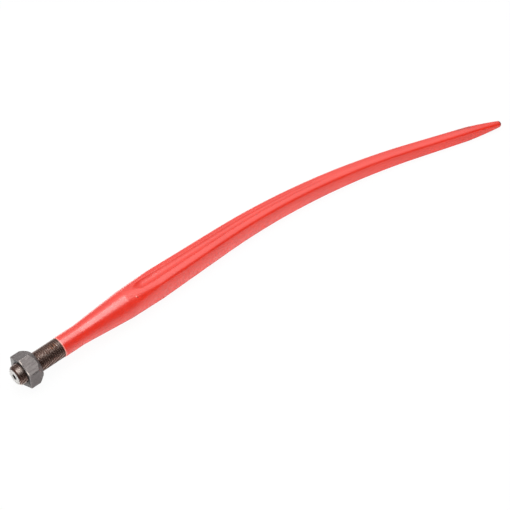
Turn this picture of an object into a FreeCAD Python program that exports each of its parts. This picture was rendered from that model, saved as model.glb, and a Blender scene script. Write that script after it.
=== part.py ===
import FreeCAD, Part
import math
import os
import Sketcher

# A bent bale fork tine with its nut, lying on its side.
# +X runs along the shank towards the point, +Z is square to the plane of the bend,
# and the tine bends towards -Y. The origin is the centre of the nut's seat face.
# Lengths are in millimetres and angles in degrees.
SIZES = {
    # Threaded end and plain shank
    "thread_diameter": 28.0,
    "thread_length": 72.0,
    "thread_projection": 10.0,
    "thread_end_chamfer": 2.6,
    "centre_hole_diameter": 6.8,
    "centre_pilot_diameter": 5.6,
    "centre_cone_depth": 0.8,
    "centre_hole_depth": 12.0,
    "shank_diameter": 28.9,
    "shank_length": 32.0,
    # Taper seat
    "taper_length": 76.0,
    "taper_end_diameter": 41.1,
    # Forged body: how far each stretch runs along its centre line
    "shoulder_length": 52.0,
    "straight_length": 118.0,
    "bend_radius": 920.0,
    "bend_angle": 19.8,
    "tail_length": 88.0,
    "point_length": 54.0,
    # Forged body: its section. Width lies in the plane of the bend, height across it
    "root_width": 38.6,
    "root_height": 35.0,
    "middle_width": 25.7,
    "middle_height": 26.5,
    "tail_width": 16.8,
    "tail_height": 19.0,
    "root_corner_radius": 5.2,
    "tail_corner_radius": 3.8,
    "face_crown_angle": 17.0,
    "point_end_radius": 4.9,
    "point_fullness": 0.35,
    # Flutes along the top and bottom faces: a deep scoop, then a shallow run that fades out
    "scoop_radius": 10.0,
    "scoop_depth": 4.0,
    "flute_radius": 10.5,
    "flute_depth": 3.2,
    "flute_end_radius": 5.2,
    "flute_end_depth": 1.2,
    "scoop_setback": 10.0,
    "scoop_entry_length": 24.0,
    "scoop_exit_length": 34.0,
    "flute_run_length": 259.0,
    "flute_fade_length": 40.0,
    "flute_lift": 0.6,
    # Hexagon nut
    "nut_across_flats": 43.0,
    "nut_height": 22.0,
    "nut_turn": 34.0,
    "nut_seat_diameter": 38.6,
    "nut_seat_bevel": 54.0,
    "nut_edge_break": 0.7,
    "nut_bore_chamfer": 2.0,
    "thread_clearance": 0.1,
}

# How many lofted steps each stretch takes
SHOULDER_STEPS = 3
STRAIGHT_STEPS = 3
BEND_STEPS = 5
TAIL_STEPS = 2
POINT_STEPS = 3
SCOOP_STEPS = 4
FLUTE_STEPS = 7
CORNER_COUNT = 6


def make_sheet(document):
    """Put every driving size in a sheet, under its own name."""
    sheet = document.addObject("Spreadsheet::Sheet", "Sizes")
    for row, (name, size) in enumerate(SIZES.items(), start=1):
        sheet.set(f"A{row}", name)
        sheet.set(f"B{row}", str(size))
        sheet.setAlias(f"B{row}", name)
    document.recompute()
    return sheet


class TinePath:
    """The centre line: straight, then one arc, then straight to the point."""

    def __init__(self, sheet):
        self.start = (
            sheet.thread_length
            + sheet.shank_length
            + sheet.taper_length
            - sheet.thread_projection
            - sheet.nut_height
        )
        self.root = self.start + sheet.shoulder_length
        self.bend_start = self.root + sheet.straight_length
        self.radius = sheet.bend_radius
        self.bend_end = self.bend_start + self.radius * math.radians(sheet.bend_angle)
        self.tail_end = self.bend_end + sheet.tail_length
        self.end = self.tail_end + sheet.point_length

    def place(self, distance):
        """Give the placement of the section at this distance along the centre line."""
        on_arc = min(max(distance - self.bend_start, 0.0), self.bend_end - self.bend_start)
        turn = on_arc / self.radius
        beyond = max(distance - self.bend_end, 0.0)
        along = min(distance, self.bend_start)
        along += self.radius * math.sin(turn) + beyond * math.cos(turn)
        aside = self.radius * (1.0 - math.cos(turn)) + beyond * math.sin(turn)
        rotation = FreeCAD.Rotation(FreeCAD.Vector(0, 0, 1), -math.degrees(turn))
        return FreeCAD.Placement(FreeCAD.Vector(along, -aside, 0), rotation)


class ForgedSection:
    """How the section of the forging changes along the centre line."""

    def __init__(self, sheet, path):
        self.sheet = sheet
        self.path = path

    def size(self, distance):
        """Give the section's width, height and corner radius."""
        sheet = self.sheet
        path = self.path
        if distance < path.root:
            share = (distance - path.start) / sheet.shoulder_length
            turned = sheet.taper_end_diameter
            return (
                blend(turned, sheet.root_width, share),
                blend(turned, sheet.root_height, share),
                blend(turned / 2, sheet.root_corner_radius, share),
            )
        if distance > path.tail_end:
            share = (distance - path.tail_end) / (sheet.point_length - sheet.point_end_radius)
            share *= 1 - sheet.point_fullness * (1 - share)
            tip = 2 * sheet.point_end_radius
            return (
                blend(sheet.tail_width, tip, share),
                blend(sheet.tail_height, tip, share),
                blend(sheet.tail_corner_radius, tip / 2, share),
            )
        share = (distance - path.root) / (path.tail_end - path.root)
        return (
            taper(sheet.root_width, sheet.middle_width, sheet.tail_width, share),
            taper(sheet.root_height, sheet.middle_height, sheet.tail_height, share),
            blend(sheet.root_corner_radius, sheet.tail_corner_radius, share),
        )

    def wire(self, distance):
        """Draw the section: four crowned faces joined by four tangent corner arcs."""
        width, height, corner = self.size(distance)
        crown = math.radians(self.sheet.face_crown_angle)
        lean = math.tan(crown / 2)
        half_width = width / 2 - corner
        half_height = height / 2 - corner
        centre_y = (half_width - lean * half_height) / (1 - lean * lean)
        centre_z = (half_height - lean * half_width) / (1 - lean * lean)
        side_radius = corner + centre_z / math.sin(crown)
        top_radius = corner + centre_y / math.sin(crown)
        side_y = width / 2 - side_radius
        top_z = height / 2 - top_radius
        square = math.pi / 2
        arcs = [
            (side_y, 0.0, side_radius, -crown, crown),
            (centre_y, centre_z, corner, crown, square - crown),
            (0.0, top_z, top_radius, square - crown, square + crown),
            (-centre_y, centre_z, corner, square + crown, 2 * square - crown),
            (-side_y, 0.0, side_radius, 2 * square - crown, 2 * square + crown),
            (-centre_y, -centre_z, corner, 2 * square + crown, 3 * square - crown),
            (0.0, -top_z, top_radius, 3 * square - crown, 3 * square + crown),
            (centre_y, -centre_z, corner, 3 * square + crown, 4 * square - crown),
        ]
        wire = Part.Wire([arc_edge(*arc) for arc in arcs])
        wire.Placement = self.path.place(distance)
        return wire


def blend(first, last, share):
    """Go evenly from the first size to the last."""
    return first + (last - first) * share


def ease(share):
    """Make an even share start and end gently."""
    return share * share * (3 - 2 * share)


def taper(root, middle, tail, share):
    """Go from root to tail along the parabola that has the middle size half way."""
    return (
        root * (1 - share) * (1 - 2 * share)
        + middle * 4 * share * (1 - share)
        + tail * share * (2 * share - 1)
    )


def arc_edge(centre_y, centre_z, radius, start, end):
    """Make one arc in the YZ plane, its angles measured from +Y towards +Z."""
    points = []
    for angle in (start, (start + end) / 2, end):
        y = centre_y + radius * math.cos(angle)
        z = centre_z + radius * math.sin(angle)
        points.append(FreeCAD.Vector(0, y, z))
    return Part.Arc(*points).toShape()


def stations(start, end, steps):
    """Space the sections of one stretch evenly, without its last one."""
    return [start + (end - start) * step / steps for step in range(steps)]


def forged_body(sheet, path, section):
    """Loft the body and the point, and round the point off with a ball."""
    point_stop = path.end - sheet.point_end_radius
    places = stations(path.start, path.root, SHOULDER_STEPS)
    places += stations(path.root, path.bend_start, STRAIGHT_STEPS)
    places += stations(path.bend_start, path.bend_end, BEND_STEPS)
    places += stations(path.bend_end, path.tail_end, TAIL_STEPS)
    places += stations(path.tail_end, point_stop, POINT_STEPS)
    places.append(point_stop)
    body = Part.makeLoft([section.wire(place) for place in places], True, False)
    tip = Part.makeSphere(sheet.point_end_radius)
    tip.Placement = path.place(point_stop)
    return body.fuse(tip)


class Flute:
    """The groove in the top face, given as a round tool that rises and sinks."""

    def __init__(self, sheet, path):
        self.sheet = sheet
        self.start = path.start + sheet.scoop_setback
        self.deepest = self.start + sheet.scoop_entry_length
        self.run = self.deepest + sheet.scoop_exit_length
        self.fade = self.run + sheet.flute_run_length
        self.end = self.fade + sheet.flute_fade_length

    def size(self, distance):
        """Give the tool's radius and how deep it lies in the face."""
        sheet = self.sheet
        if distance <= self.deepest:
            share = ease((distance - self.start) / sheet.scoop_entry_length)
            return sheet.scoop_radius, blend(-sheet.flute_lift, sheet.scoop_depth, share)
        if distance <= self.run:
            share = ease((distance - self.deepest) / sheet.scoop_exit_length)
            radius = blend(sheet.scoop_radius, sheet.flute_radius, share)
            return radius, blend(sheet.scoop_depth, sheet.flute_depth, share)
        share = min((distance - self.run) / sheet.flute_run_length, 1.0)
        radius = blend(sheet.flute_radius, sheet.flute_end_radius, share)
        depth = blend(sheet.flute_depth, sheet.flute_end_depth, share)
        if distance > self.fade:
            share = (distance - self.fade) / sheet.flute_fade_length
            depth = blend(sheet.flute_end_depth, -sheet.flute_lift, share)
        return radius, depth

    def tool(self, path, section, side):
        """Loft the tool that cuts the groove in the top or the bottom face."""
        places = stations(self.start, self.deepest, SCOOP_STEPS)
        places += stations(self.deepest, self.run, SCOOP_STEPS)
        places += stations(self.run, self.fade, FLUTE_STEPS)
        places += [self.fade, (self.fade + self.end) / 2, self.end]
        wires = []
        for place in places:
            radius, depth = self.size(place)
            face = section.size(place)[1] / 2
            centre = FreeCAD.Vector(0, 0, side * (face - depth + radius))
            circle = Part.Circle(centre, FreeCAD.Vector(1, 0, 0), radius)
            wire = Part.Wire(circle.toShape())
            wire.Placement = path.place(place)
            wires.append(wire)
        return Part.makeLoft(wires, True, False)


def origin_plane(body, role):
    """Find one of the body's own origin planes."""
    return next(item for item in body.Origin.OriginFeatures if item.Role == role)


def polygon_sketch(body, name, role, corners):
    """Draw a closed outline whose corners are bound to expressions of the sheet."""
    sketch = body.newObject("Sketcher::SketchObject", name)
    sketch.AttachmentSupport = (origin_plane(body, role), [""])
    sketch.MapMode = "FlatFace"
    points = []
    for across, up in corners:
        x = float(sketch.evalExpression(across))
        y = float(sketch.evalExpression(up))
        points.append(FreeCAD.Vector(x, y, 0))
    count = len(points)
    for number in range(count):
        line = Part.LineSegment(points[number], points[(number + 1) % count])
        sketch.addGeometry(line, False)
    for number in range(count):
        following = (number + 1) % count
        sketch.addConstraint(Sketcher.Constraint("Coincident", number, 2, following, 1))
    for number, (across, up) in enumerate(corners):
        fix_corner(sketch, number, "DistanceX", -2, across, points[number].x)
        fix_corner(sketch, number, "DistanceY", -1, up, points[number].y)
    return sketch


def fix_corner(sketch, number, kind, axis, expression, value):
    """Hold one corner on an axis, or at its distance from the origin."""
    if expression == "0":
        sketch.addConstraint(Sketcher.Constraint("PointOnObject", number, 1, axis))
        return
    index = sketch.addConstraint(Sketcher.Constraint(kind, -1, 1, number, 1, value))
    sketch.setExpression(f"Constraints[{index}]", expression)


def turn(body, kind, name, sketch):
    """Revolve an outline all the way round the X axis, to add or to cut."""
    feature = body.newObject(f"PartDesign::{kind}", name)
    feature.Profile = sketch
    feature.ReferenceAxis = (sketch, ["H_Axis"])
    feature.Angle = 360.0
    sketch.Visibility = False
    body.Tip = feature
    return feature


def make_tine(document, sheet):
    """Forge the body, then turn the taper, the shank and the threaded end on it."""
    path = TinePath(sheet)
    section = ForgedSection(sheet, path)
    forging = document.addObject("Part::Feature", "forging")
    flute = Flute(sheet, path)
    shape = forged_body(sheet, path, section)
    for side in (1, -1):
        shape = shape.cut(flute.tool(path, section, side))
    forging.Shape = shape.removeSplitter()
    body = document.addObject("PartDesign::Body", "tine")
    body.Label = "tine"
    body.BaseFeature = forging
    document.recompute()
    start = "-(Sizes.thread_projection + Sizes.nut_height)"
    thread_end = f"({start} + Sizes.thread_length)"
    taper_start = f"({thread_end} + Sizes.shank_length)"
    taper_end = f"({taper_start} + Sizes.taper_length)"
    thread_radius = "Sizes.thread_diameter / 2"
    shank_radius = "Sizes.shank_diameter / 2"
    outline = polygon_sketch(body, "turned_outline", "XZ_Plane", [
        (start, "0"),
        (start, f"{thread_radius} - Sizes.thread_end_chamfer"),
        (f"{start} + Sizes.thread_end_chamfer", thread_radius),
        (thread_end, thread_radius),
        (thread_end, shank_radius),
        (taper_start, shank_radius),
        (taper_end, "Sizes.taper_end_diameter / 2"),
        (taper_end, "0"),
    ])
    turn(body, "Revolution", "turned_end", outline)
    pilot_radius = "Sizes.centre_pilot_diameter / 2"
    centre = polygon_sketch(body, "centre_outline", "XZ_Plane", [
        (start, "0"),
        (start, "Sizes.centre_hole_diameter / 2"),
        (f"{start} + Sizes.centre_cone_depth", pilot_radius),
        (f"{start} + Sizes.centre_hole_depth", pilot_radius),
        (f"{start} + Sizes.centre_hole_depth", "0"),
    ])
    turn(body, "Groove", "centre_hole", centre)
    return body


def face_edges(shape, x):
    """Name the straight edges that lie wholly at one X."""
    names = []
    for number, edge in enumerate(shape.Edges, start=1):
        straight = isinstance(edge.Curve, Part.Line)
        flat = all(abs(vertex.X - x) < 1e-4 for vertex in edge.Vertexes)
        if straight and flat:
            names.append(f"Edge{number}")
    return names


def make_nut(document, sheet):
    """Pad the hexagon, bevel its seat side, bore it and break its outer edges."""
    body = document.addObject("PartDesign::Body", "hex_nut")
    body.Label = "hex_nut"
    corner = "Sizes.nut_across_flats / 2 / cos(30 deg)"
    corners = []
    for number in range(CORNER_COUNT):
        angle = f"(Sizes.nut_turn + {number * 360 // CORNER_COUNT}) * 1 deg"
        corners.append((f"{corner} * cos({angle})", f"{corner} * sin({angle})"))
    hexagon = polygon_sketch(body, "hexagon", "YZ_Plane", corners)
    pad = body.newObject("PartDesign::Pad", "hexagon_bar")
    pad.Profile = hexagon
    pad.Reversed = True
    pad.setExpression("Length", "Sizes.nut_height")
    body.Tip = pad
    document.recompute()
    breaks = body.newObject("PartDesign::Chamfer", "outer_edge_break")
    breaks.Base = (pad, face_edges(pad.Shape, -sheet.nut_height))
    breaks.setExpression("Size", "Sizes.nut_edge_break")
    body.Tip = breaks
    seat_radius = "Sizes.nut_seat_diameter / 2"
    clear_radius = "Sizes.nut_across_flats"
    bevel = polygon_sketch(body, "seat_bevel_outline", "XZ_Plane", [
        ("0", seat_radius),
        ("0", clear_radius),
        (f"-({clear_radius} - {seat_radius}) * tan(Sizes.nut_seat_bevel * 1 deg)", clear_radius),
    ])
    turn(body, "Groove", "seat_bevel", bevel)
    bore_radius = "(Sizes.thread_diameter / 2 + Sizes.thread_clearance)"
    mouth_radius = f"{bore_radius} + Sizes.nut_bore_chamfer"
    bore = polygon_sketch(body, "bore_outline", "XZ_Plane", [
        ("-Sizes.nut_height", "0"),
        ("-Sizes.nut_height", mouth_radius),
        ("-Sizes.nut_height + Sizes.nut_bore_chamfer", bore_radius),
        ("-Sizes.nut_bore_chamfer", bore_radius),
        ("0", mouth_radius),
        ("0", "0"),
    ])
    turn(body, "Groove", "bore", bore)
    return body


def check(document, parts):
    """Stop if anything in the document failed or a part isn't one valid solid."""
    for item in document.Objects:
        if "Invalid" in item.State or "Error" in item.State:
            raise RuntimeError(f"{item.Name} failed: {item.State}")
    for part in parts:
        shape = part.Shape
        if shape.isNull() or not shape.isValid() or len(shape.Solids) != 1:
            raise RuntimeError(f"{part.Label} is not one valid solid")


def main():
    document = FreeCAD.newDocument("bale_fork_tine")
    sheet = make_sheet(document)
    parts = [make_tine(document, sheet), make_nut(document, sheet)]
    document.recompute()
    check(document, parts)
    os.makedirs("parts", exist_ok=True)
    for part in parts:
        part.Shape.exportStep(f"parts/{part.Label}.step")
        box = part.Shape.BoundBox
        print(part.Label, "volume", round(part.Shape.Volume), "mm3, box", box)


main()
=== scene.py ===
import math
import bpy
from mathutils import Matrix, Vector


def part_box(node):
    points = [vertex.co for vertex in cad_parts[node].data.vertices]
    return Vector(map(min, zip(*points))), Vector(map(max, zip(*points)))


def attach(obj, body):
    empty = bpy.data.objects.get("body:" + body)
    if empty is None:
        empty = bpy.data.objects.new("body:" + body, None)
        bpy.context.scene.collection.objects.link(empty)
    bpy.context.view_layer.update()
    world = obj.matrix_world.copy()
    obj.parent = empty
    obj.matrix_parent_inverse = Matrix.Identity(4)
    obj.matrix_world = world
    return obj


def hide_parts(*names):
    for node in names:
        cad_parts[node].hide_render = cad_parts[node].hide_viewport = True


bl_info = {
    "name": "Bale Fork Tine",
    "version": (1, 0, 0),
    "blender": (4, 5, 0),
    "location": "3D View > Sidebar > Tine",
    "description": "Dresses the packed bale fork tine and sets up its studio",
    "category": "Object",
}

import bmesh
import bpy
from bpy.props import FloatProperty, FloatVectorProperty, IntProperty, PointerProperty
from mathutils import Matrix, Vector, noise

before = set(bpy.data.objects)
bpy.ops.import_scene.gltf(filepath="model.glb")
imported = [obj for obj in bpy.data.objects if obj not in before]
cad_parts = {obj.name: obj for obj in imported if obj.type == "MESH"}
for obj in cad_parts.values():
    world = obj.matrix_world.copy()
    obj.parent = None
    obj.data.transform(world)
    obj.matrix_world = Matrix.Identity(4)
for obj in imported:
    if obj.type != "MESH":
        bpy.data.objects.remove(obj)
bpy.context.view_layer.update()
THREAD_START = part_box("tine")[0].x
NUT_OUTER_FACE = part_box("hex_nut")[0].x

# Tolerances in metres: points within WELD of each other are one, edges shorter than SLIVER
# are dropped, and a place within NEAR of a plane counts as on it
WELD = 1e-6
SLIVER = 1e-7
NEAR = 1e-5


# Sizes

def length(name, description, default):
    return FloatProperty(
        name=name, description=description, default=default,
        subtype="DISTANCE", unit="LENGTH", precision=5,
    )


def angle(name, description, degrees):
    return FloatProperty(
        name=name, description=description, default=math.radians(degrees),
        subtype="ANGLE", unit="ROTATION",
    )


def amount(name, description, default, **limits):
    """A plain number that is never below nought."""
    return FloatProperty(name=name, description=description, default=default, min=0.0, **limits)


def count(name, description, default, least):
    return IntProperty(name=name, description=description, default=default, min=least)


def colour(name, description, default):
    return FloatVectorProperty(
        name=name, description=description, default=default,
        subtype="COLOR", size=3, min=0.0, max=1.0,
    )


class ForgingSizes(bpy.types.PropertyGroup):
    """Sizes of the painted forging, along its centre line and across it"""

    paint_edge: length("Paint edge", "Where the paint starts, from the nut's seat", 0.040)
    taper_start: length("Taper start", "Where the round taper starts", 0.072)
    taper_end: length("Taper end", "Where the round taper ends", 0.148)
    shank_radius: length("Shank radius", "Radius of the plain shank", 0.01445)
    taper_radius: length("Taper radius", "Radius at the taper's wide end", 0.02055)
    shoulder: length("Shoulder", "From the taper's end to the full section", 0.052)
    straight: length("Straight", "From the full section to the bend", 0.118)
    bend_radius: length("Bend radius", "Radius of the bend's centre line", 0.92)
    bend_angle: angle("Bend angle", "How far the tine bends", 19.8)
    tail: length("Tail", "From the bend to the point", 0.088)
    point: length("Point", "Length of the point", 0.05397)
    point_radius: length("Point radius", "Radius of the rounded end", 0.00487)
    fullness: amount("Fullness", "How full the point's sides are", 0.35)
    root_width: length("Root width", "Section's width at the root", 0.0386)
    root_height: length("Root height", "Section's height at the root", 0.0350)
    middle_width: length("Middle width", "Section's width half way", 0.0257)
    middle_height: length("Middle height", "Section's height half way", 0.0265)
    tail_width: length("Tail width", "Section's width at the tail's end", 0.0168)
    tail_height: length("Tail height", "Section's height at the tail's end", 0.0190)
    root_corner: length("Root corner", "Corner radius at the root", 0.0052)
    tail_corner: length("Tail corner", "Corner radius at the tail's end", 0.0038)
    crown: angle("Crown", "Half the angle that each crowned face turns through", 17.0)
    ripple: length("Ripple", "Depth of the slight hammer ripple", 0.00005)
    around: count("Around", "Columns of faces round the body", 196, 12)


class FluteSizes(bpy.types.PropertyGroup):
    """Sizes of the flute in the top and bottom faces"""

    scoop_radius: length("Scoop radius", "Radius of the scoop that starts the flute", 0.0100)
    scoop_depth: length("Scoop depth", "Depth of the scoop", 0.0040)
    radius: length("Radius", "Radius of the flute past the scoop", 0.0105)
    depth: length("Depth", "Depth of the flute past the scoop", 0.0032)
    end_radius: length("End radius", "Radius where the flute starts to fade", 0.0052)
    end_depth: length("End depth", "Depth where the flute starts to fade", 0.0012)
    setback: length("Setback", "From the taper's end to the scoop's start", 0.010)
    entry: length("Entry", "Length over which the scoop sinks in", 0.024)
    rise: length("Rise", "Length over which the scoop turns into the flute", 0.034)
    run: length("Run", "Length of the flute past the scoop", 0.259)
    fade: length("Fade", "Length over which the flute runs out", 0.040)
    lift: length("Lift", "How high the flute's tool starts over the face", 0.0006)
    edge: length("Edge", "How soft the flute's edges are", 0.0006)


class ThreadSizes(bpy.types.PropertyGroup):
    """Sizes of the threaded end"""

    radius: length("Radius", "Radius over the crests", 0.014)
    pitch: length("Pitch", "Distance between crests", 0.0015)
    depth: length("Depth", "Depth of the thread", 0.00092)
    end_chamfer: length("End chamfer", "Chamfer at the free end", 0.0031)
    centre_radius: length("Centre radius", "Radius of the centre hole's mouth", 0.0034)
    pilot_radius: length("Pilot radius", "Radius of the centre hole below its mouth", 0.0028)
    cone_depth: length("Cone depth", "Depth of the centre hole's cone", 0.0008)
    hole_depth: length("Hole depth", "Depth of the centre hole", 0.012)
    steps: count("Steps", "Steps in each turn of the thread", 56, 12)


class NutSizes(bpy.types.PropertyGroup):
    """Sizes of the hexagon nut"""

    across_flats: length("Across flats", "Distance across two flats", 0.043)
    turn: angle("Turn", "How far the nut is screwed round", 34.0)
    seat_radius: length("Seat radius", "Outer radius of the seat face", 0.0193)
    seat_bevel: angle("Seat bevel", "Slope of the bevel round the seat", 54.0)
    edge_break: length("Edge break", "Chamfer on the outer face's edges", 0.0007)
    bore_radius: length("Bore radius", "Radius of the bore", 0.0141)
    bore_chamfer: length("Bore chamfer", "Chamfer at each end of the bore", 0.002)
    edge_wear: length("Edge wear", "Width of the worn strip on each edge", 0.00035)
    columns: count("Columns", "Columns of faces on each flat", 12, 2)


class Finishes(bpy.types.PropertyGroup):
    """Colours of the paint and the steel"""

    paint: colour("Paint", "Main colour of the paint", (0.655, 0.017, 0.003))
    paint_deep: colour("Deep paint", "Colour where the paint lies thick", (0.625, 0.015, 0.0025))
    # The pimple's own chalky colour, also painted as a highlight on the pale rim at the paint's edge
    chalk_and_rim_highlight: colour("Chalky paint", "Pimple and pale rim of the paint", (0.80, 0.30, 0.25))
    grime: colour("Grime", "Dirt on the point and in the paint's chips", (0.16, 0.03, 0.02))
    thread_dark: colour("Thread", "Oiled thread", (0.056, 0.026, 0.019))
    # Worn crests, also painted lighter on the thread's lit side as a highlight
    worn_crest_highlight: colour("Worn thread", "Worn crests of the thread", (0.46, 0.315, 0.265))
    rust: colour("Rust", "Brown stain on the thread", (0.15, 0.065, 0.038))
    # Black for the nick on the thread, and painted shade in the centre hole, round its mouth, round the
    # nut's bore and on the nut's near corner
    soot_and_shade: colour("Soot", "Black oil in the holes and on the nut's near corner", (0.012, 0.010, 0.009))
    nut_dark: colour("Nut", "Dull face of the nut", (0.126, 0.107, 0.106))
    # Rubbed patches of the nut, also its painted light on the near flat
    nut_rubbed_and_lit: colour("Rubbed nut", "Rubbed patches of the nut", (0.195, 0.173, 0.169))
    # Rubbed mottling on the nut's upper flat, over painted light where that flat faces the light
    rubbed: colour("Rubbed steel", "The nut's upper flat", (0.32, 0.300, 0.285))
    outer_face: colour("Outer face", "The nut's outer face", (0.165, 0.168, 0.160))
    bright: colour("Bright steel", "Machined end of the shank", (0.50, 0.485, 0.465))
    # Painted highlight: glints on the thread's upper side, the free end, the stub's underside and the
    # nut's near edges, which are worn bright as well
    worn_gleam: colour("Gleam", "Worn edges and crests", (0.86, 0.75, 0.68))


class StageSizes(bpy.types.PropertyGroup):
    """The camera, the lamps and the floor"""

    camera_place: FloatVectorProperty(
        name="Camera", description="Where the camera stands",
        default=(-0.71433, -1.35872, 1.67714), subtype="TRANSLATION", unit="LENGTH",
    )
    camera_turn: FloatVectorProperty(
        name="Camera turn", description="How the camera is turned",
        default=(0.783086, 0.052542, -0.728240), subtype="EULER", unit="ROTATION",
    )
    lens: amount("Lens", "Focal length on a 36 mm sensor", 123.97, unit="CAMERA")
    floor_height: length("Floor", "Height of the floor under the origin", -0.02461)
    floor_slope: angle("Floor slope", "How far the floor rises towards the point", 1.20)
    key_radiance: amount("Key", "Brightness of the overhead lamp", 4.9)
    fill_power: amount("Fill", "Power of the front lamp in watts", 7.0)
    floor_glow: amount("Floor glow", "How white the floor looks to the camera", 0.95, max=1.0)
    floor_bounce: amount("Floor bounce", "Light that the floor throws back on the tine", 0.7)
    sky: amount("Sky", "Brightness of the room", 1.90)
    far_end: amount("Far end", "Share of that brightness beyond the point", 0.18)


# The forging's form

# In metres: half the length of the soft knee at the taper's start, how far the paint's edge
# is rounded and how far it drops there, and the length over which the ripple dies away
KNEE = 0.003
LIP = 0.0004
LIP_DROP = 0.0002
RIPPLE_FADE = 0.03
# How close the hammer ripple lies along the tine and across it, in noise cells to the metre
RIPPLE_ALONG = 38
RIPPLE_ACROSS = 70

# Distance between the rings of the sweep on each stretch, from the paint's edge to the point
LIP_STEP = 0.0002
SHANK_STEP = 0.0029
KNEE_STEP = 0.001
TAPER_STEP = 0.003
SCOOP_STEP = 0.00125
FLUTE_STEP = 0.0022
POINT_STEP = 0.00135
# How far the first stretch runs past the paint's edge, and how far before the taper's end
# the scoop's closer rings begin
LIP_STRETCH = 0.0006
SCOOP_LEAD = 0.002
BALL_RINGS = 8


def blend(first, last, share):
    return first + (last - first) * share


def ease(share):
    """Make an even share start and end gently."""
    return share * share * (3 - 2 * share)


def taper(root, middle, tail, share):
    """Go from root to tail along the parabola that has the middle size half way."""
    return (
        root * (1 - share) * (1 - 2 * share)
        + middle * 4 * share * (1 - share)
        + tail * share * (2 * share - 1)
    )


def smooth_lower(first, second, reach):
    """The lower of two heights, rounded where they cross."""
    near = max(reach - abs(first - second), 0.0) / reach
    return min(first, second) - near * near * reach / 4


class Forging:
    """The swept form of the painted forging."""

    def __init__(self, sizes, flute):
        self.sizes = sizes
        self.flute = flute
        self.root = sizes.taper_end + sizes.shoulder
        self.bend_start = self.root + sizes.straight
        self.bend_end = self.bend_start + sizes.bend_radius * sizes.bend_angle
        self.tail_end = self.bend_end + sizes.tail
        self.end = self.tail_end + sizes.point
        self.ball = self.end - sizes.point_radius
        self.scoop_start = sizes.taper_end + flute.setback
        self.scoop_deepest = self.scoop_start + flute.entry
        self.flute_run = self.scoop_deepest + flute.rise
        self.flute_fade = self.flute_run + flute.run
        self.flute_end = self.flute_fade + flute.fade

    def place(self, distance, across, up):
        """Turn a place on one section into a point in space."""
        radius = self.sizes.bend_radius
        turned = min(max(distance - self.bend_start, 0.0) / radius, self.sizes.bend_angle)
        beyond = max(distance - self.bend_end, 0.0)
        along = min(distance, self.bend_start) + radius * math.sin(turned) + beyond * math.cos(turned)
        aside = radius * (1 - math.cos(turned)) + beyond * math.sin(turned)
        return Vector((along + across * math.sin(turned), across * math.cos(turned) - aside, up))

    def round_radius(self, distance):
        """Radius of the turned end, with a soft knee where the taper starts."""
        sizes = self.sizes
        slope = (sizes.taper_radius - sizes.shank_radius) / (sizes.taper_end - sizes.taper_start)
        past = distance - sizes.taper_start
        if past < -KNEE:
            return sizes.shank_radius
        if past < KNEE:
            return sizes.shank_radius + slope * (past + KNEE) ** 2 / (4 * KNEE)
        return sizes.shank_radius + slope * past

    def size(self, distance):
        """Width, height and corner radius of the section."""
        sizes = self.sizes
        if distance < self.root:
            share = (distance - sizes.taper_end) / sizes.shoulder
            turned = 2 * sizes.taper_radius
            return (
                blend(turned, sizes.root_width, share),
                blend(turned, sizes.root_height, share),
                blend(turned / 2, sizes.root_corner, share),
            )
        if distance > self.tail_end:
            share = min((distance - self.tail_end) / (sizes.point - sizes.point_radius), 1.0)
            share *= 1 - sizes.fullness * (1 - share)
            tip = 2 * sizes.point_radius
            return (
                blend(sizes.tail_width, tip, share),
                blend(sizes.tail_height, tip, share),
                blend(sizes.tail_corner, tip / 2, share),
            )
        share = (distance - self.root) / (self.tail_end - self.root)
        return (
            taper(sizes.root_width, sizes.middle_width, sizes.tail_width, share),
            taper(sizes.root_height, sizes.middle_height, sizes.tail_height, share),
            blend(sizes.root_corner, sizes.tail_corner, share),
        )

    def outline(self, size, direction):
        """Where a ray in this direction leaves the crowned, round-cornered section."""
        width, height, corner = size
        crown = self.sizes.crown
        lean = math.tan(crown / 2)
        half_width = width / 2 - corner
        half_height = height / 2 - corner
        corner_y = (half_width - lean * half_height) / (1 - lean * lean)
        corner_z = (half_height - lean * half_width) / (1 - lean * lean)
        side_radius = corner + corner_z / math.sin(crown)
        top_radius = corner + corner_y / math.sin(crown)
        y = abs(math.cos(direction))
        z = abs(math.sin(direction))
        first = math.atan2(corner_z + corner * math.sin(crown), corner_y + corner * math.cos(crown))
        second = math.atan2(corner_z + corner * math.cos(crown), corner_y + corner * math.sin(crown))
        ray = math.atan2(z, y)
        if ray < first:
            centre_y, centre_z, radius = width / 2 - side_radius, 0.0, side_radius
        elif ray < second:
            centre_y, centre_z, radius = corner_y, corner_z, corner
        else:
            centre_y, centre_z, radius = 0.0, height / 2 - top_radius, top_radius
        reach = y * centre_y + z * centre_z
        reach += math.sqrt(max(reach * reach - centre_y ** 2 - centre_z ** 2 + radius ** 2, 0.0))
        across = math.copysign(y * reach, math.cos(direction))
        up = math.copysign(z * reach, math.sin(direction))
        return across, up

    def flute_size(self, distance):
        """Radius of the flute's tool, and how deep it lies in the face."""
        flute = self.flute
        if distance <= self.scoop_deepest:
            share = ease((distance - self.scoop_start) / flute.entry)
            return flute.scoop_radius, blend(-flute.lift, flute.scoop_depth, share)
        if distance <= self.flute_run:
            share = ease((distance - self.scoop_deepest) / flute.rise)
            radius = blend(flute.scoop_radius, flute.radius, share)
            return radius, blend(flute.scoop_depth, flute.depth, share)
        share = min((distance - self.flute_run) / flute.run, 1.0)
        radius = blend(flute.radius, flute.end_radius, share)
        depth = blend(flute.depth, flute.end_depth, share)
        if distance > self.flute_fade:
            depth = blend(flute.end_depth, -flute.lift, (distance - self.flute_fade) / flute.fade)
        return radius, depth

    def sink(self, distance, height, across, up):
        """Lower a place on the top or bottom face to the flute's floor."""
        if not self.scoop_start < distance < self.flute_end:
            return up
        radius, depth = self.flute_size(distance)
        if abs(across) >= radius:
            return up
        floor = height / 2 - depth + radius - math.sqrt(radius * radius - across * across)
        return math.copysign(smooth_lower(abs(up), floor, self.flute.edge), up)

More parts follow.
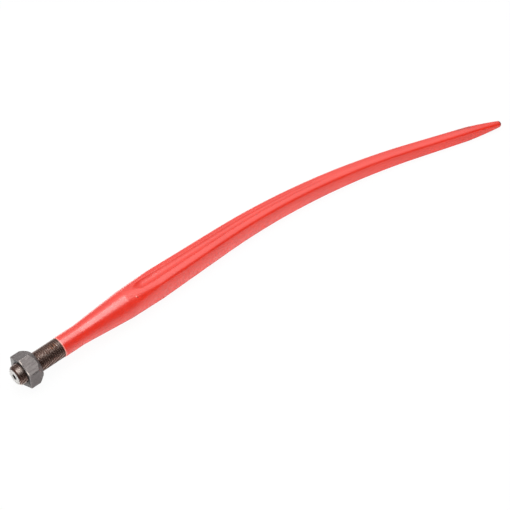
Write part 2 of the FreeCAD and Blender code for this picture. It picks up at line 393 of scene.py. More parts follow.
    def surface(self, distance, direction):
        """The point of the painted skin at this distance and direction."""
        sizes = self.sizes
        if distance <= sizes.taper_end:
            radius = self.round_radius(distance)
            edge = distance - sizes.paint_edge
            if edge < LIP:
                radius -= LIP_DROP * (1 - edge / LIP) ** 2
            return self.place(distance, radius * math.cos(direction), radius * math.sin(direction))
        if distance > self.ball:
            beyond = min((distance - self.ball) / sizes.point_radius, 1.0)
            radius = sizes.point_radius * math.sqrt(max(1 - beyond * beyond, 0.0))
            return self.place(distance, radius * math.cos(direction), radius * math.sin(direction))
        size = self.size(distance)
        across, up = self.outline(size, direction)
        up = self.sink(distance, size[1], across, up)
        inside = min(distance - sizes.taper_end, self.ball - distance)
        fade = min(inside / RIPPLE_FADE, 1.0)
        point = self.place(distance, across, up)
        cell = Vector((distance * RIPPLE_ALONG, across * RIPPLE_ACROSS, up * RIPPLE_ACROSS))
        wave = noise.noise(cell) - 0.5
        return point + Vector((0, across, up)).normalized() * sizes.ripple * wave * fade

    def stations(self):
        """Distances of the rings, closer where the form changes quickly."""
        sizes = self.sizes
        rings = []
        start = sizes.paint_edge
        for end, step in (
            (sizes.paint_edge + LIP_STRETCH, LIP_STEP),
            (sizes.taper_start - KNEE, SHANK_STEP),
            (sizes.taper_start + KNEE, KNEE_STEP),
            (sizes.taper_end - SCOOP_LEAD, TAPER_STEP),
            (self.flute_run, SCOOP_STEP),
            (self.tail_end, FLUTE_STEP),
            (self.ball, POINT_STEP),
        ):
            steps = max(round((end - start) / step), 1)
            rings += [blend(start, end, number / steps) for number in range(steps)]
            start = end
        for number in range(BALL_RINGS + 1):
            turned = number * math.pi / (2 * BALL_RINGS)
            rings.append(self.ball + sizes.point_radius * math.sin(turned))
        return rings


# Mesh helpers

def finish_piece(bm, name, materials, slot_name, *nodes):
    """Weld and clean the mesh, and hand it over as a piece that rides on the row's one body."""
    bmesh.ops.remove_doubles(bm, verts=bm.verts, dist=WELD)
    bmesh.ops.dissolve_degenerate(bm, edges=bm.edges, dist=SLIVER)
    bmesh.ops.recalc_face_normals(bm, faces=bm.faces)
    mesh = bpy.data.meshes.new(name)
    bm.to_mesh(mesh)
    bm.free()
    piece = bpy.data.objects.new(name, mesh)
    bpy.context.scene.collection.objects.link(piece)
    for material in materials:
        piece.data.materials.append(material)
    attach(piece, "root")
    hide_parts(*nodes)
    return piece


def push_ring(bm, edges, place):
    """Extrude a ring of edges, and move each new vertex to where place puts it."""
    made = bmesh.ops.extrude_edge_only(bm, edges=edges)["geom"]
    for item in made:
        if isinstance(item, bmesh.types.BMVert):
            item.co = place(item.co)
    fresh = [item for item in made if isinstance(item, bmesh.types.BMEdge)]
    return [edge for edge in fresh if len(edge.link_faces) == 1]


def turned_to(shape):
    """A move that keeps a point's angle about the X axis. The shape gives its X and radius."""
    def place(point):
        turn = math.atan2(point.z, point.y)
        x, radius = shape(turn)
        return Vector((x, radius * math.cos(turn), radius * math.sin(turn)))
    return place


def round_to(x, radius):
    return turned_to(lambda turn: (x, radius))


# Material helpers

class Recipe:
    """A node material under construction."""

    def __init__(self, name):
        self.material = bpy.data.materials.new(name)
        self.material.use_nodes = True
        self.tree = self.material.node_tree
        self.tree.nodes.clear()
        self.output = self.tree.nodes.new("ShaderNodeOutputMaterial")
        self.shader = self.tree.nodes.new("ShaderNodeBsdfPrincipled")
        self.tree.links.new(self.shader.outputs["BSDF"], self.output.inputs["Surface"])
        self.place = self.tree.nodes.new("ShaderNodeTexCoord").outputs["Object"]

    def node(self, kind, links=None, **settings):
        """Add a node, set what is named, and link its inputs."""
        made = self.tree.nodes.new(kind)
        for key, value in settings.items():
            setattr(made, key, value)
        for key, value in (links or {}).items():
            self.feed(made.inputs[key], value)
        return made

    def feed(self, socket, value):
        """Link the value to the socket, or set it there."""
        if isinstance(value, bpy.types.NodeSocket):
            self.tree.links.new(value, socket)
        else:
            socket.default_value = value

    def noise(self, scale, detail=2.0, roughness=0.5, place=None):
        links = {"Vector": place or self.place, "Scale": scale, "Detail": detail, "Roughness": roughness}
        return self.node("ShaderNodeTexNoise", links).outputs["Fac"]

    def ramp(self, value, low, high, first=0.0, last=1.0):
        """Go gently from first to last while the value goes from low to high."""
        links = {"Value": value, "From Min": low, "From Max": high, "To Min": first, "To Max": last}
        return self.node("ShaderNodeMapRange", links, interpolation_type="SMOOTHSTEP").outputs["Result"]

    def ramp_line(self, value, low, high):
        """Go evenly from nought to one while the value goes from low to high."""
        links = {"Value": value, "From Min": low, "From Max": high}
        return self.node("ShaderNodeMapRange", links).outputs["Result"]

    def mix(self, share, first, last):
        mixer = self.node("ShaderNodeMix", data_type="RGBA")
        self.feed(mixer.inputs["Factor"], share)
        for key, value in (("A", first), ("B", last)):
            socket = next(item for item in mixer.inputs if item.name == key and item.type == "RGBA")
            self.feed(socket, value if isinstance(value, bpy.types.NodeSocket) else (*value, 1.0))
        return next(item for item in mixer.outputs if item.type == "RGBA")

    def math(self, operation, first, second=0.0):
        made = self.node("ShaderNodeMath", operation=operation)
        self.feed(made.inputs[0], first)
        self.feed(made.inputs[1], second)
        return made.outputs["Value"]

    def times(self, value, *others):
        """Multiply the values together."""
        for other in others:
            value = self.math("MULTIPLY", value, other)
        return value

    def larger(self, value, *others):
        """Take the largest of the values."""
        for other in others:
            value = self.math("MAXIMUM", value, other)
        return value

    def axis(self, name):
        return self.node("ShaderNodeSeparateXYZ", {"Vector": self.place}).outputs[name]

    def off_axis(self):
        """Distance from the shank's axis."""
        flat = self.node("ShaderNodeVectorMath", operation="MULTIPLY")
        self.feed(flat.inputs[0], self.place)
        flat.inputs[1].default_value = (0.0, 1.0, 1.0)
        size = self.node("ShaderNodeVectorMath", {0: flat.outputs["Vector"]}, operation="LENGTH")
        return size.outputs["Value"]

    def along(self, direction):
        """Distance from the origin along a direction."""
        made = self.node("ShaderNodeVectorMath", operation="DOT_PRODUCT")
        self.feed(made.inputs[0], self.place)
        made.inputs[1].default_value = direction
        return made.outputs["Value"]

    def stretched(self, scale, detail, shape):
        """Noise drawn out along one axis, for brushed and rubbed steel."""
        place = self.node("ShaderNodeMapping", {"Vector": self.place, "Scale": shape})
        return self.noise(scale, detail, 0.6, place.outputs["Vector"])

    def spot(self, place, radius, softness=0.6):
        """One inside a small round patch, falling to nought over the outer part of its radius."""
        away = self.node("ShaderNodeVectorMath", operation="DISTANCE")
        self.feed(away.inputs[0], self.place)
        away.inputs[1].default_value = place
        return self.ramp(away.outputs["Value"], radius * softness, radius, 1.0, 0.0)

    def bump(self, *layers):
        """Stack bump layers, each a height, a strength and a depth in metres."""
        normal = None
        for height, strength, depth in layers:
            links = {"Height": height, "Strength": strength, "Distance": depth}
            made = self.node("ShaderNodeBump", links)
            if normal:
                self.feed(made.inputs["Normal"], normal)
            normal = made.outputs["Normal"]
        self.feed(self.shader.inputs["Normal"], normal)

    def shade(self, **sockets):
        for key, value in sockets.items():
            self.feed(self.shader.inputs[key.replace("_", " ")], value)
        return self.material

    def steel(self, base, metallic, cloud, smooth, rough):
        """Finish the material as steel, whose roughness follows the cloud."""
        roughness = self.ramp(cloud, 0.0, 1.0, smooth, rough)
        return self.shade(Base_Color=base, Metallic=metallic, Roughness=roughness)


def outward(turn):
    """The direction straight out from the shank's axis at this angle."""
    return (0.0, math.cos(turn), math.sin(turn))


# Where the looks of each material lie, in metres. A pair is a span that a look takes to come
# in: it starts at the first value and is full at the second

# The dirt on the point, and the pale rim at the paint's edge that is a painted highlight, both along X
TIP_DIRT = (0.7580, 0.7610)
RIM_HIGHLIGHT = (0.0416, 0.0408)
# The pimple in the paint, and the small marks, each with its place, radius and strength
PIMPLE = (0.1603, -0.0125, 0.0164)
PIMPLE_RADIUS = 0.0013
MARK_SOFTNESS = 0.3
PAINT_MARKS = (
    ((0.1613, -0.0141, 0.0150), 0.0013, 0.8),
    ((0.1782, -0.0181, -0.0102), 0.0015, 0.9),
    ((0.3771, -0.0065, 0.0142), 0.0020, 0.45),
)
# The smudge near the point: its two ends, its number of spots, and their radius and strength
SMUDGE_START = Vector((0.7010, -0.0759, 0.0094))
SMUDGE_END = Vector((0.7170, -0.0832, 0.0088))
SMUDGE_SPOTS = 6
SMUDGE_RADIUS = 0.0034
SMUDGE_STRENGTH = 0.45

# The thread: the crests by their radius, the stripes along X, the lit side by its height, and
# the streaks of the low side by their direction and how close they lie
CREST = (0.0133, 0.0139)
STRIPE_PITCH = 0.003
LIT_SIDE = (-0.003, 0.004)
LOW_SIDE = (0.004, 0.000)
STREAK_DIRECTION = (0.254, -1.217, -0.654)
STREAK_RATE = 2200.0
# The painted glints of the upper side, the painted highlight on the free end, and the painted light on
# the stub's underside
UPPER_SIDE = (0.0, -0.42, 0.91)
UPPER_GLINT = (0.0124, 0.0140)
HIGHLIT_END = (-0.0225, -0.0235)
STUB = (-0.0205, -0.0225)
STUB_BELOW = (-0.004, -0.008)
# The brown stain, the dark nick in it, and the painted shade in the centre hole and round its mouth
STAIN = (0.029, -0.003, 0.0135)
STAIN_RADIUS = 0.009
NICK = (0.0290, -0.0020, 0.0138)
NICK_RADIUS = 0.0018
HOLE_SHADE = (0.0037, 0.0034)
MOUTH_SHADE = (0.0045, 0.0038)

# The nut: its two near flats, which take painted light, and the corner between them, which takes a
# painted line of shade, as angles past the nut's turn, the distance from the axis at which each look
# comes in, and where the corner's dark line begins
UPPER_FLAT = math.radians(90)
NEAR_CORNER = math.radians(120)
NEAR_FLAT = math.radians(150)
FLAT_LOOK = (0.0205, 0.0212)
CORNER_LINE = (0.0241, 0.0246)
CORNER_LINE_START = (-0.0185, -0.0165)
# The outer face: its lighter low part, and the painted shadow ring round the bore on its upper near
# side, where the stub shades it
FACE_BELOW = (-0.004, -0.012)
SHADE_RING = (0.0218, 0.0195)
SHADE_SIDE = (0.0, -0.656, 0.755)
SHADE_REACH = (0.001, 0.006)
# Painted highlights on the nut's outer edge, as bright worn spots, each with its place and radius
EDGE_SOFTNESS = 0.2
EDGE_HIGHLIGHTS = (
    ((-0.0213, -0.0046, 0.0228), 0.0046),
    ((-0.0213, -0.0180, 0.0138), 0.0055),
)


def red_paint(finishes):
    """Semi-gloss red paint with a fine orange peel, a few nicks, a smudge, a dull end and a painted
    highlight round the paint's edge.
    """
    recipe = Recipe("red_paint")
    cloud = recipe.ramp(recipe.noise(28.0, 3.0), 0.35, 0.65)
    base = recipe.mix(cloud, finishes.paint, finishes.paint_deep)
    chips = recipe.ramp(recipe.noise(420.0, 2.0), 0.74, 0.80)
    tip = recipe.ramp(recipe.axis("X"), *TIP_DIRT)
    dirt = recipe.larger(recipe.times(chips, 0.6), recipe.times(tip, 0.85))
    marks = list(PAINT_MARKS)
    for number in range(SMUDGE_SPOTS):
        place = SMUDGE_START.lerp(SMUDGE_END, number / (SMUDGE_SPOTS - 1))
        marks.append((place, SMUDGE_RADIUS, SMUDGE_STRENGTH))
    for place, radius, strength in marks:
        mark = recipe.times(recipe.spot(place, radius, MARK_SOFTNESS), strength)
        dirt = recipe.larger(dirt, mark)
    base = recipe.mix(dirt, base, finishes.grime)
    pimple = recipe.spot(PIMPLE, PIMPLE_RADIUS, MARK_SOFTNESS)
    base = recipe.mix(pimple, base, finishes.chalk_and_rim_highlight)
    # Painted highlight: a pale rim round the paint's edge, for the light caught on its lip
    rim = recipe.ramp(recipe.axis("X"), *RIM_HIGHLIGHT, 0.0, 0.75)
    base = recipe.mix(rim, base, finishes.chalk_and_rim_highlight)
    gloss = recipe.ramp(recipe.noise(60.0, 3.0), 0.3, 0.7, 0.30, 0.40)
    gloss = recipe.math("ADD", gloss, recipe.times(tip, 0.3))
    recipe.bump(
        (recipe.noise(620.0, 2.0), 0.20, 0.0001),
        (recipe.noise(70.0, 2.0), 0.12, 0.0004),
    )
    return recipe.shade(
        Base_Color=base, Roughness=gloss, Coat_Weight=0.85, Coat_Roughness=0.24, Coat_IOR=1.5
    )


def thread_steel(finishes):
    """Dark oiled thread: bright crests with a painted highlight on the lit side, slanting streaks below,
    a brown stain, painted highlights on the upper side and the free end, painted light on the stub's
    underside and painted shade in the centre hole.
    """
    recipe = Recipe("dark_thread")
    cloud = recipe.ramp(recipe.noise(240.0, 4.0, 0.6), 0.40, 0.70)
    along = recipe.axis("X")
    height = recipe.axis("Z")
    out = recipe.off_axis()
    crest = recipe.ramp(out, *CREST)
    speckle = recipe.ramp(recipe.noise(800.0, 2.0), 0.42, 0.62, 0.3, 1.0)
    turns = recipe.math("SINE", recipe.times(along, 2 * math.pi / STRIPE_PITCH))
    stripes = recipe.ramp(turns, -0.8, 0.8, 0.35, 0.9)
    # Worn crests, painted lighter on the lit upper side as a highlight
    worn = recipe.times(crest, speckle, stripes, recipe.ramp(height, *LIT_SIDE, 0.25, 1.0))
    base = recipe.mix(worn, finishes.thread_dark, finishes.worn_crest_highlight)
    slant = recipe.math("SINE", recipe.times(recipe.along(STREAK_DIRECTION), STREAK_RATE))
    streak = recipe.times(recipe.ramp(slant, 0.0, 0.9), recipe.ramp(height, *LOW_SIDE), 0.75)
    base = recipe.mix(streak, base, finishes.worn_crest_highlight)
    # Painted light: the stub's underside is lighter
    underside_light = recipe.times(recipe.ramp(along, *STUB), recipe.ramp(height, *STUB_BELOW, 0.0, 0.75))
    base = recipe.mix(underside_light, base, finishes.worn_gleam)
    # Painted highlights: glints on the upper side and a bright patch on the free end
    upper = recipe.ramp(recipe.along(UPPER_SIDE), *UPPER_GLINT)
    sparkle = recipe.times(upper, recipe.ramp(recipe.noise(950.0, 1.0), 0.56, 0.66))
    end_highlight = recipe.times(upper, recipe.times(recipe.ramp(along, *HIGHLIT_END), 0.8))
    glint = recipe.times(recipe.larger(sparkle, end_highlight), 0.8)
    base = recipe.mix(glint, base, finishes.worn_gleam)
    mottle = recipe.ramp(recipe.noise(260.0, 4.0, 0.7), 0.42, 0.60)
    stain = recipe.times(recipe.spot(STAIN, STAIN_RADIUS, 0.1), mottle)
    base = recipe.mix(stain, base, finishes.rust)
    # Painted shade fills the centre hole; the nick beside it is a dark mark of its own
    oil = recipe.larger(recipe.spot(NICK, NICK_RADIUS), recipe.ramp(out, *HOLE_SHADE))
    base = recipe.mix(oil, base, finishes.soot_and_shade)
    recipe.bump((recipe.noise(900.0, 2.0), 0.4, 0.0001))
    return recipe.steel(base, 0.8, cloud, 0.26, 0.40)


def nut_steel(finishes, turn):
    """Dull steel rubbed along the nut, with painted light on its two near flats and a painted dark line
    of shade between them.
    """
    recipe = Recipe("nut_steel")
    cloud = recipe.ramp(recipe.noise(95.0, 5.0, 0.65), 0.36, 0.66)
    grain = recipe.ramp(recipe.stretched(700.0, 3.0, (0.12, 1.0, 1.0)), 0.3, 0.7)
    share = recipe.times(recipe.math("ADD", cloud, grain), 0.5)
    base = recipe.mix(share, finishes.nut_dark, finishes.nut_rubbed_and_lit)
    # Painted light: the upper flat is lighter, with rubbed mottling
    upper_flat = recipe.ramp(recipe.along(outward(turn + UPPER_FLAT)), *FLAT_LOOK)
    mottle = recipe.ramp(recipe.stretched(420.0, 4.0, (0.35, 1.0, 1.0)), 0.36, 0.66, 0.0, 0.38)
    base = recipe.mix(recipe.times(upper_flat, mottle), base, finishes.rubbed)
    # Painted light on the near flat
    near_flat = recipe.ramp(recipe.along(outward(turn + NEAR_FLAT)), *FLAT_LOOK, 0.0, 0.7)
    base = recipe.mix(near_flat, base, finishes.nut_rubbed_and_lit)
    # Painted shade: a dark line on the corner between the near flats
    corner = recipe.ramp(recipe.along(outward(turn + NEAR_CORNER)), *CORNER_LINE)
    dark_line = recipe.times(corner, recipe.ramp(recipe.axis("X"), *CORNER_LINE_START, 0.0, 0.75))
    base = recipe.mix(dark_line, base, finishes.soot_and_shade)
    recipe.bump((recipe.noise(1100.0, 3.0), 0.35, 0.00012), (recipe.noise(160.0, 3.0), 0.3, 0.0003))
    return recipe.steel(base, 0.85, cloud, 0.42, 0.56)


def outer_face_steel(finishes):
    """The nut's outer face, a little lighter below, with a painted shadow round the bore above."""
    recipe = Recipe("outer_face_steel")
    cloud = recipe.ramp(recipe.noise(150.0, 4.0, 0.6), 0.35, 0.65)
    base = recipe.mix(cloud, finishes.outer_face, finishes.nut_rubbed_and_lit)
    below = recipe.ramp(recipe.axis("Z"), *FACE_BELOW, 0.0, 0.35)
    base = recipe.mix(below, base, finishes.nut_rubbed_and_lit)
    # Painted shadow of the stub, round the bore on the face's upper near side
    ring = recipe.ramp(recipe.off_axis(), *SHADE_RING)
    stub_shade = recipe.times(ring, recipe.ramp(recipe.along(SHADE_SIDE), *SHADE_REACH))
    base = recipe.mix(stub_shade, base, finishes.soot_and_shade)
    recipe.bump((recipe.noise(1100.0, 3.0), 0.25, 0.0001))
    return recipe.steel(base, 0.7, cloud, 0.38, 0.50)


def bright_steel(finishes):
    """The shank's bright machined end, with painted shade round the centre hole."""
    recipe = Recipe("bright_steel")
    cloud = recipe.noise(420.0, 4.0, 0.6)
    dull = [0.75 * part for part in finishes.bright]
    base = recipe.mix(recipe.ramp(cloud, 0.3, 0.7), finishes.bright, dull)
    # Painted shade round the centre hole's mouth
    base = recipe.mix(recipe.ramp(recipe.off_axis(), *MOUTH_SHADE), base, finishes.soot_and_shade)
    recipe.bump((recipe.noise(1600.0, 2.0), 0.25, 0.00005))
    return recipe.steel(base, 0.6, cloud, 0.28, 0.46)


def edge_highlight_steel(finishes):
    """The nut's outward edges on the near side, worn bright near two corners as painted highlights."""
    recipe = Recipe("edge_highlight_steel")
    cloud = recipe.ramp(recipe.noise(400.0, 3.0), 0.3, 0.7, 0.5, 1.0)
    # Painted highlights in bright worn spots near two corners
    spots = [recipe.spot(place, radius, EDGE_SOFTNESS) for place, radius in EDGE_HIGHLIGHTS]
    worn = recipe.times(recipe.larger(*spots), cloud)
    base = recipe.mix(worn, finishes.nut_rubbed_and_lit, finishes.worn_gleam)
    roughness = recipe.ramp(cloud, 0.5, 1.0, 0.45, 0.35)
    return recipe.shade(Base_Color=base, Metallic=0.6, Roughness=roughness)


# Operators

# The closed end of the painted body, hidden inside the thread's metal
PAINT_END_RADIUS = 0.0125
# How far the thread runs on under the paint
THREAD_OVERLAP = 0.001
# The flats at the thread's root and crest, as shares of its pitch
ROOT_FLAT = 1 / 4
CREST_FLAT = 1 / 8
# The nut's edges that turn more than this are worn
SHARP = math.radians(14)
# The edges that carry the painted highlight and are worn bright lie between these degrees past the
# nut's turn, and further out than this share of its height
HIGHLIGHT_DEGREES = (57, 178)
HIGHLIGHT_SHARE = 0.6
# The material slots of the nut, and the second slot of the threaded end
NUT_SIDE, NUT_FACE, NUT_LIT_EDGE = range(3)
MACHINED = 1


class TINE_OT_painted_body(bpy.types.Operator):
    """Sweep the painted forging from the paint's edge to the point"""

    bl_idname = "tine.painted_body"
    bl_label = "Painted body"

    def execute(self, context):
        settings = context.scene.tine_settings
        forging = Forging(settings.forging, settings.flute)
        rings = forging.stations()
        last = len(rings) - 1
        half = 0.5
        bm = bmesh.new()
        bmesh.ops.create_grid(bm, x_segments=settings.forging.around, y_segments=last, size=half)
        for vertex in bm.verts:
            direction = 2 * math.pi * (vertex.co.x + half)
            ring = round((vertex.co.y + half) * last)
            vertex.co = forging.surface(rings[ring], direction)
        bmesh.ops.remove_doubles(bm, verts=bm.verts, dist=WELD)
        edge = [item for item in bm.edges if item.is_boundary]
        edge = push_ring(bm, edge, round_to(settings.forging.paint_edge, PAINT_END_RADIUS))
        bmesh.ops.holes_fill(bm, edges=edge, sides=0)
        for face in bm.faces:
            face.smooth = True
        finish_piece(bm, "painted_body", [red_paint(settings.finishes)], "red_paint", "tine")
        return {"FINISHED"}


class TINE_OT_threaded_end(bpy.types.Operator):
    """Spin the threaded end, chamfer it and sink its centre hole"""

    bl_idname = "tine.threaded_end"
    bl_label = "Threaded end"

    def execute(self, context):
        settings = context.scene.tine_settings
        thread = settings.thread
        start = THREAD_START
        end = settings.forging.paint_edge + THREAD_OVERLAP
        pitch = thread.pitch
        crest = thread.radius
        root = crest - thread.depth
        turns = math.ceil((end - start) / pitch) + 2
        middle = (1 + ROOT_FLAT) / 2
        shares = (
            (0, root),
            (ROOT_FLAT, root),
            (middle - CREST_FLAT / 2, crest),
            (middle + CREST_FLAT / 2, crest),
            (1, root),
        )
        bm = bmesh.new()
        profile = [bm.verts.new((start + (share - 1) * pitch, radius, 0)) for share, radius in shares]
        edges = [bm.edges.new(pair) for pair in zip(profile, profile[1:])]
        bmesh.ops.spin(
            bm, geom=profile + edges, cent=(0, 0, 0), axis=(1, 0, 0),
            dvec=(pitch / thread.steps, 0, 0), angle=2 * math.pi, steps=thread.steps,
        )
        one_turn = bm.verts[:] + bm.edges[:] + bm.faces[:]
        for number in range(1, turns):
            copied = bmesh.ops.duplicate(bm, geom=one_turn)["geom"]
            moved = [item for item in copied if isinstance(item, bmesh.types.BMVert)]
            bmesh.ops.translate(bm, verts=moved, vec=(number * pitch, 0, 0))
        bmesh.ops.remove_doubles(bm, verts=bm.verts, dist=WELD)
        for x, side in ((start, -1), (end, 1)):
            bmesh.ops.bisect_plane(
                bm, geom=bm.verts[:] + bm.edges[:] + bm.faces[:], dist=SLIVER,
                plane_co=(x, 0, 0), plane_no=(side, 0, 0), clear_outer=True,
            )
        for vertex in bm.verts:
            reach = crest - thread.end_chamfer + vertex.co.x - start
            radius = math.hypot(vertex.co.y, vertex.co.z)
            if radius > reach:
                vertex.co.y *= reach / radius
                vertex.co.z *= reach / radius
        for face in bm.faces:
            face.smooth = True
        bmesh.ops.remove_doubles(bm, verts=bm.verts, dist=WELD)
        open_edges = [item for item in bm.edges if item.is_boundary]
        rim = [item for item in open_edges if item.verts[0].co.x < start + NEAR]
        back = [item for item in open_edges if item.verts[0].co.x > end - NEAR]
        old = set(bm.faces)
        mouth = push_ring(bm, rim, round_to(start, thread.centre_radius))
        machined = set(bm.faces) - old
        mouth = push_ring(bm, mouth, round_to(start + thread.cone_depth, thread.pilot_radius))
        mouth = push_ring(bm, mouth, round_to(start + thread.hole_depth, thread.pilot_radius))
        bmesh.ops.holes_fill(bm, edges=mouth, sides=0)
        bmesh.ops.holes_fill(bm, edges=back, sides=0)
        for face in machined:
            face.material_index = MACHINED
        materials = [thread_steel(settings.finishes), bright_steel(settings.finishes)]
        finish_piece(bm, "threaded_end", materials, "dark_thread", "tine")
        return {"FINISHED"}


class TINE_OT_hex_nut(bpy.types.Operator):
    """Draw the nut's hexagon out, bevel its seat side, and break its edges into worn strips that carry a
    painted highlight on the near side
    """

    bl_idname = "tine.hex_nut"
    bl_label = "Hexagon nut"

    def execute(self, context):
        settings = context.scene.tine_settings
        nut = settings.nut
        outer = NUT_OUTER_FACE
        flat = nut.across_flats / 2
        sixth = math.pi / 3

        def hexagon(turn, apothem):
            return apothem / math.cos((turn - nut.turn) % sixth - sixth / 2)

        def on_hexagon(x, apothem):
            return turned_to(lambda turn: (x, hexagon(turn, apothem)))

        def bevel(turn):
            radius = hexagon(turn, flat)
            return (nut.seat_radius - radius) * math.tan(nut.seat_bevel), radius

        bm = bmesh.new()
        made = bmesh.ops.create_circle(bm, segments=6 * nut.columns, radius=1.0)["verts"]
        upright = Matrix.Rotation(nut.turn, 4, "X") @ Matrix.Rotation(math.pi / 2, 4, "Y")
        bmesh.ops.rotate(bm, verts=made, cent=(0, 0, 0), matrix=upright)
        for vertex in made:
            vertex.co = on_hexagon(outer, flat - nut.edge_break)(vertex.co)
        mouth = nut.bore_radius + nut.bore_chamfer
        ring = bm.edges[:]
        for place in (
            on_hexagon(outer + nut.edge_break, flat),
            turned_to(bevel),
            round_to(0.0, nut.seat_radius),
            round_to(0.0, mouth),
            round_to(-nut.bore_chamfer, nut.bore_radius),
            round_to(outer + nut.bore_chamfer, nut.bore_radius),
            round_to(outer, mouth),
            on_hexagon(outer, flat - nut.edge_break),
        ):
            ring = push_ring(bm, ring, place)
        bmesh.ops.remove_doubles(bm, verts=bm.verts, dist=WELD)
        bmesh.ops.recalc_face_normals(bm, faces=bm.faces)
        sharp = []
        for item in bm.edges:
            middle = (item.verts[0].co + item.verts[1].co) / 2
            outside = math.hypot(middle.y, middle.z) > nut.seat_radius - NEAR
            if outside and item.calc_face_angle(0.0) > SHARP:
                sharp.append(item)
        worn = bmesh.ops.bevel(
            bm, geom=sharp, offset=nut.edge_wear, offset_type="OFFSET", affect="EDGES",
            segments=2, profile=0.5, material=-1, clamp_overlap=True,
        )["faces"]
        # Worn strips on the near side take the painted highlight
        for face in worn:
            face.material_index = self.edge_highlight_slot(face.calc_center_median(), nut.turn)
        for face in bm.faces:
            middle = face.calc_center_median()
            outside = math.hypot(middle.y, middle.z) > flat - nut.edge_break
            if middle.x < outer + NEAR:
                face.material_index = NUT_FACE
            elif outside and middle.x < outer + nut.edge_break:
                face.material_index = self.edge_highlight_slot(middle, nut.turn)
        finishes = settings.finishes
        materials = [nut_steel(finishes, nut.turn), outer_face_steel(finishes), edge_highlight_steel(finishes)]
        finish_piece(bm, "dressed_nut", materials, "bare_steel", "hex_nut")
        return {"FINISHED"}

    def edge_highlight_slot(self, middle, nut_turn):
        """The material of an edge: worn bright, with a painted highlight, on the outer part of the two
        flats on the near side.
        """
        first, last = HIGHLIGHT_DEGREES
        turn = math.degrees(math.atan2(middle.z, middle.y) - nut_turn) % 360
        worn = first < turn < last and middle.x < NUT_OUTER_FACE * HIGHLIGHT_SHARE
        return NUT_LIT_EDGE if worn else NUT_SIDE


SENSOR_WIDTH = 36.0
VIEW_REACH = 20.0

# The floor: half its width, its grey, and its brightness in reflections, which follows
# FLOOR_GLOSS from the first place of FLOOR_SPAN on Y to the second
FLOOR_REACH = 4.0
FLOOR_GREY = (0.86, 0.86, 0.86)
FLOOR_SPAN = (-0.6, 0.0)
FLOOR_GLOSS = ((0.0, 0.11), (0.45, 0.23), (0.75, 0.37), (0.88, 0.56), (0.95, 0.80))

# The room's brightness by the Y part of the direction, from the camera's side to the far side
ROOM_LEVELS = (
    (-1.0, 0.02), (-0.85, 0.03), (-0.75, 0.07), (-0.65, 0.14), (-0.50, 0.24), (-0.30, 0.34),
    (-0.07, 0.54), (0.15, 0.87), (0.28, 0.98), (0.45, 0.79), (0.60, 0.60), (0.80, 0.37), (1.0, 0.24),
)
# The X parts of the direction between which the room dims beyond the point
DIM_SPAN = (0.50, 0.85)

# The lamps: where each hangs, what it is aimed at, and its size
KEY_PLACE = Vector((0.30, -0.18, 1.6))
KEY_AIM = Vector((0.30, -0.18, 0.0))
KEY_SIZE = (0.80, 1.44)
FRONT_PLACE = Vector((0.1, -1.9, 0.5))
FRONT_AIM = Vector((0.35, 0.0, 0.0))
FRONT_SIZE = (1.6, 0.8)


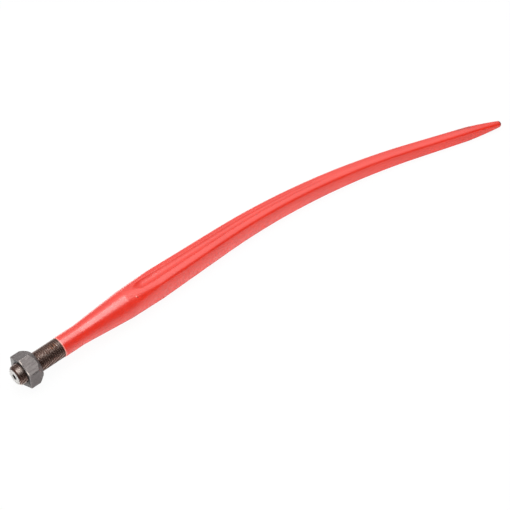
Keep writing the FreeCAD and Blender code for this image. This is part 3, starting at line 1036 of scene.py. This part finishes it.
class TINE_OT_stage(bpy.types.Operator):
    """Lay the floor and set up the lamps, the room and the camera"""

    bl_idname = "tine.stage"
    bl_label = "Stage"

    def execute(self, context):
        settings = context.scene.tine_settings.stage
        self.lay_floor(settings)
        self.light_room(context.scene, settings)
        self.hang_lamps(settings)
        camera = bpy.data.objects.new("camera", bpy.data.cameras.new("camera"))
        camera.data.lens = settings.lens
        camera.data.sensor_width = SENSOR_WIDTH
        camera.data.clip_end = VIEW_REACH
        camera.location = settings.camera_place
        camera.rotation_euler = settings.camera_turn
        context.scene.collection.objects.link(camera)
        context.scene.camera = camera
        context.scene.view_settings.view_transform = "Standard"
        return {"FINISHED"}

    def lay_floor(self, settings):
        """A pale floor that shows white and keeps a faint shadow."""
        bm = bmesh.new()
        bmesh.ops.create_grid(bm, x_segments=2, y_segments=2, size=FLOOR_REACH)
        tilt = Matrix.Rotation(-settings.floor_slope, 3, "Y")
        bmesh.ops.rotate(bm, verts=bm.verts, cent=(0, 0, 0), matrix=tilt)
        bmesh.ops.translate(bm, verts=bm.verts, vec=(0, 0, settings.floor_height))
        mesh = bpy.data.meshes.new("floor")
        bm.to_mesh(mesh)
        bm.free()
        floor = bpy.data.objects.new("floor", mesh)
        bpy.context.scene.collection.objects.link(floor)
        recipe = Recipe("floor")
        path = recipe.node("ShaderNodeLightPath")
        reach = recipe.ramp_line(recipe.axis("Y"), *FLOOR_SPAN)
        gloss = recipe.node("ShaderNodeFloatCurve", {"Value": reach})
        curve = gloss.mapping.curves[0]
        for place, level in FLOOR_GLOSS:
            curve.points.new(place, level)
        curve.points.remove(curve.points[0])
        gloss.mapping.update()
        level = recipe.mix(path.outputs["Is Glossy Ray"], FLOOR_GREY, gloss.outputs["Value"])
        bounce = recipe.times(path.outputs["Is Diffuse Ray"], settings.floor_bounce)
        recipe.shade(
            Base_Color=level, Roughness=0.9, Specular_IOR_Level=0.0,
            Emission_Color=(1.0, 1.0, 1.0, 1.0), Emission_Strength=bounce,
        )
        glow = recipe.node("ShaderNodeEmission", {"Strength": 1.0})
        seen = recipe.times(path.outputs["Is Camera Ray"], settings.floor_glow)
        mixer = recipe.node("ShaderNodeMixShader", {"Fac": seen})
        recipe.feed(mixer.inputs[1], recipe.shader.outputs["BSDF"])
        recipe.feed(mixer.inputs[2], glow.outputs["Emission"])
        recipe.feed(recipe.output.inputs["Surface"], mixer.outputs["Shader"])
        mesh.materials.append(recipe.material)

    def light_room(self, scene, settings):
        """A pale room, dark behind the camera and dim beyond the point."""
        room = bpy.data.worlds.new("room")
        scene.world = room
        room.use_nodes = True
        tree = room.node_tree
        tree.nodes.clear()
        kinds = (
            "OutputWorld", "Background", "TexCoord", "SeparateXYZ", "ValToRGB", "MapRange", "MapRange",
        )
        nodes = [tree.nodes.new("ShaderNode" + kind) for kind in kinds]
        output, background, place, split, ramp, shift, dim = nodes
        shift.inputs["From Min"].default_value = -1.0
        shift.inputs["From Max"].default_value = 1.0
        elements = ramp.color_ramp.elements
        while len(elements) < len(ROOM_LEVELS):
            elements.new(0.5)
        for element, (side, level) in zip(elements, ROOM_LEVELS):
            element.position = (side + 1) / 2
            element.color = (level, level, level, 1.0)
        dim.interpolation_type = "SMOOTHSTEP"
        for key, value in zip(
            ("From Min", "From Max", "To Min", "To Max"),
            (*DIM_SPAN, settings.sky, settings.sky * settings.far_end),
        ):
            dim.inputs[key].default_value = value
        tree.links.new(place.outputs["Generated"], split.inputs["Vector"])
        tree.links.new(split.outputs["X"], dim.inputs["Value"])
        tree.links.new(dim.outputs["Result"], background.inputs["Strength"])
        tree.links.new(split.outputs["Y"], shift.inputs["Value"])
        tree.links.new(shift.outputs["Result"], ramp.inputs["Fac"])
        tree.links.new(ramp.outputs["Color"], background.inputs["Color"])
        tree.links.new(background.outputs["Background"], output.inputs["Surface"])

    def hang_lamps(self, settings):
        """One large lamp overhead, and a soft one at the front that isn't mirrored."""
        key_power = settings.key_radiance * math.pi * KEY_SIZE[0] * KEY_SIZE[1]
        self.hang("key", KEY_PLACE, KEY_AIM, KEY_SIZE, key_power)
        front = self.hang("front", FRONT_PLACE, FRONT_AIM, FRONT_SIZE, settings.fill_power)
        front.visible_glossy = False

    def hang(self, name, place, aim, size, power):
        """Hang one lamp of this size, aimed at a place."""
        lamp = bpy.data.lights.new(name, "AREA")
        lamp.shape = "RECTANGLE"
        lamp.size, lamp.size_y = size
        lamp.energy = power
        holder = bpy.data.objects.new(name, lamp)
        holder.location = place
        holder.rotation_euler = (aim - place).to_track_quat("-Z", "Y").to_euler()
        bpy.context.scene.collection.objects.link(holder)
        return holder


class TINE_PT_builder(bpy.types.Panel):
    """The tine's pieces and its stage"""

    bl_label = "Bale fork tine"
    bl_space_type = "VIEW_3D"
    bl_region_type = "UI"
    bl_category = "Tine"

    def draw(self, context):
        settings = context.scene.tine_settings
        for title, group, operator in (
            ("Painted body", settings.forging, "tine.painted_body"),
            ("Flutes", settings.flute, None),
            ("Threaded end", settings.thread, "tine.threaded_end"),
            ("Hexagon nut", settings.nut, "tine.hex_nut"),
            ("Finishes", settings.finishes, None),
            ("Stage", settings.stage, "tine.stage"),
        ):
            box = self.layout.box()
            box.label(text=title)
            for key in group.__annotations__:
                box.prop(group, key)
            if operator:
                box.operator(operator)


class TineSettings(bpy.types.PropertyGroup):
    """All the settings of the tine"""

    forging: PointerProperty(type=ForgingSizes)
    flute: PointerProperty(type=FluteSizes)
    thread: PointerProperty(type=ThreadSizes)
    nut: PointerProperty(type=NutSizes)
    finishes: PointerProperty(type=Finishes)
    stage: PointerProperty(type=StageSizes)


CLASSES = (
    ForgingSizes,
    FluteSizes,
    ThreadSizes,
    NutSizes,
    Finishes,
    StageSizes,
    TineSettings,
    TINE_OT_painted_body,
    TINE_OT_threaded_end,
    TINE_OT_hex_nut,
    TINE_OT_stage,
    TINE_PT_builder,
)


def register():
    for item in CLASSES:
        bpy.utils.register_class(item)
    bpy.types.Scene.tine_settings = PointerProperty(type=TineSettings)


def unregister():
    del bpy.types.Scene.tine_settings
    for item in reversed(CLASSES):
        bpy.utils.unregister_class(item)


def main():
    register()
    bpy.ops.tine.painted_body()
    bpy.ops.tine.threaded_end()
    bpy.ops.tine.hex_nut()
    bpy.ops.tine.stage()


if __name__ == "__main__":
    main()
